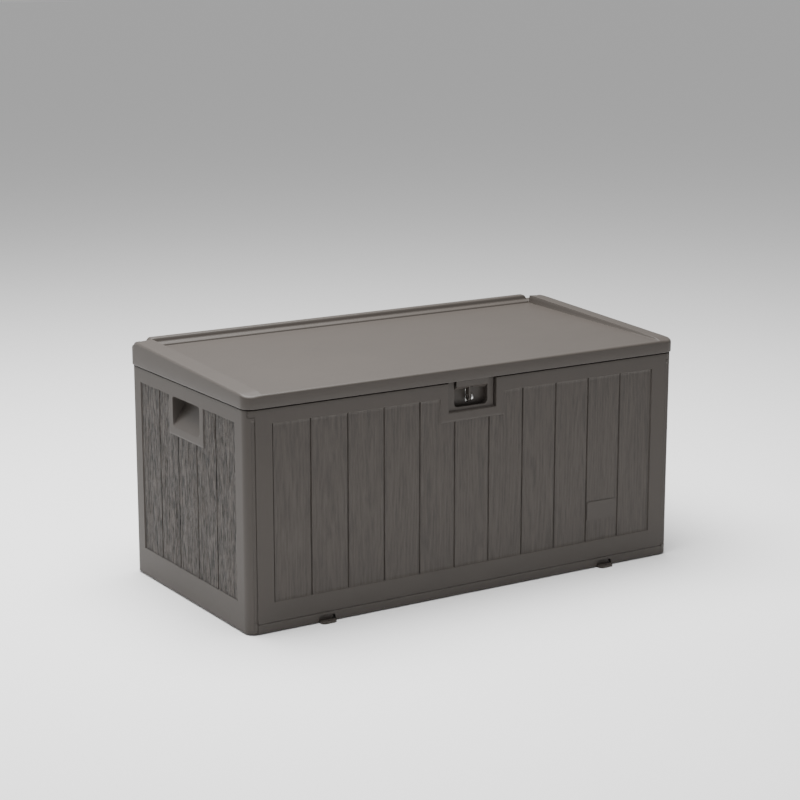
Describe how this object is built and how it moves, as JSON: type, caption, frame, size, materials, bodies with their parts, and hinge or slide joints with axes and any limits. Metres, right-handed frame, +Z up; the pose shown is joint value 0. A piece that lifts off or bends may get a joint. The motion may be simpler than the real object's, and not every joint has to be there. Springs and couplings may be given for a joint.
{
  "type": "deck storage box",
  "caption": "Planked resin deck storage box with a tray-topped lid on three rear hinges, a padlock hasp and scooped hand-holds.",
  "frame": {"origin": "on the ground at the centre of the footprint, below the feet", "axes": "+X along the length to the right as seen from the front, -Y out of the front (latch side), +Z up"},
  "size_m": [1.186, 0.61, 0.573],
  "materials": {
    "resin_body": "matt wood-grain moulded resin",
    "resin_lid": "matt fine-grained moulded resin",
    "resin_inner": "matt moulded resin",
    "label_blank": "smooth satin plate",
    "foot_plastic": "matt moulded resin",
    "zinc_steel": "zinc-plated steel"
  },
  "bodies": {
    "root": {"base_tray": "resin_body", "front_panel": "resin_body", "lock_housing": "resin_body", "rear_panel": "resin_body", "left_panel": "resin_body", "right_panel": "resin_body", "label_plate": "label_blank", "foot_front_left": "foot_plastic", "foot_front_right": "foot_plastic", "foot_rear_left": "foot_plastic", "foot_rear_right": "foot_plastic", "hinge_pin_left": "zinc_steel", "hinge_pin_middle": "zinc_steel", "hinge_pin_right": "zinc_steel", "lock_staple": "zinc_steel", "staple_screws": "zinc_steel", "wall_screws": "zinc_steel", "housing_screws": "zinc_steel"},
    "lid": {"lid_shell": "resin_lid", "lid_inner_panel": "resin_inner", "lid_screws": "zinc_steel", "lid_hasp": "resin_lid", "hasp_screws": "zinc_steel"}
  },
  "joints": [
    {"name": "lid_hinge", "type": "hinge", "parent": "root", "child": "lid", "pos_m": [0, 0.298, 0.515], "axis": [-1, 0, 0], "range_deg": [0, 100]}
  ]
}
